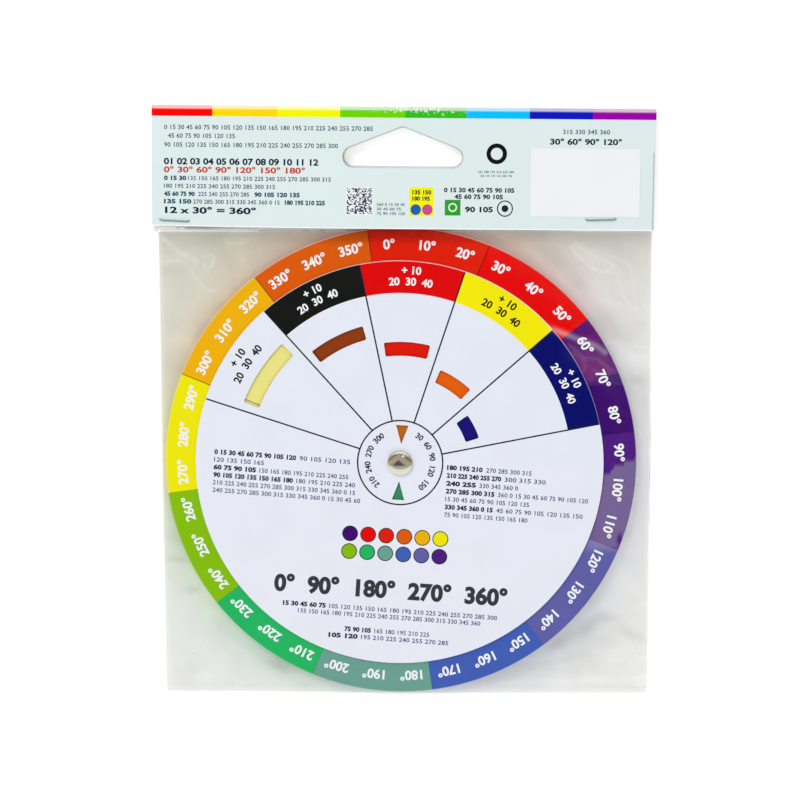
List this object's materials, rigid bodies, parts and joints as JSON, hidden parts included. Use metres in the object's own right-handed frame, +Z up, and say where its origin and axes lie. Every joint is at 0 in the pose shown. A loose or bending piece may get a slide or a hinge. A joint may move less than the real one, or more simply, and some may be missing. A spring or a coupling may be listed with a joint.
{
  "type": "color mixing wheel",
  "caption": "Card colour mixing wheel with windowed dials on a rivet, in a clear film bag with a stapled hanging header card.",
  "frame": {"origin": "middle of the pack's footprint, on the surface that it lies on", "axes": "+Z up out of the printed side, +Y from the bag's foot towards the header card, +X to the right of the pictured side"},
  "size_m": [0.1478, 0.1768, 0.0053],
  "materials": {
    "disc_card": "printed in twelve hues, satin",
    "dial_card": "printed, satin",
    "rivet_metal": "polished nickel plate",
    "header_stock": "printed, satin",
    "clear_film": "clear film, soft wrinkles",
    "staple_wire": "galvanised",
    "label_paper": "matte"
  },
  "bodies": {
    "package": {"header_card": "header_stock", "bag_front_film": "clear_film", "bag_rear_film": "clear_film", "staple_left": "staple_wire", "staple_right": "staple_wire", "blank_label": "label_paper"},
    "rivet": {"rivet_cap": "rivet_metal", "rivet_post": "rivet_metal"},
    "color_disc": {"color_disc": "disc_card"},
    "front_dial": {"front_dial": "dial_card"},
    "rear_dial": {"rear_dial": "dial_card"}
  },
  "joints": [
    {"name": "wheel_shift", "type": "slide", "parent": "package", "child": "rivet", "axis": [0, 1, 0], "range_m": [0, 0.003]},
    {"name": "disc_turn", "type": "hinge", "parent": "rivet", "child": "color_disc", "pos_m": [-0.00112, -0.01753, 0.0022], "axis": [0, 0, 1], "continuous": true},
    {"name": "front_dial_turn", "type": "hinge", "parent": "rivet", "child": "front_dial", "pos_m": [-0.00112, -0.01753, 0.0028], "axis": [0, 0, 1], "continuous": true},
    {"name": "rear_dial_turn", "type": "hinge", "parent": "rivet", "child": "rear_dial", "pos_m": [-0.00112, -0.01753, 0.0017], "axis": [0, 0, 1], "continuous": true}
  ]
}
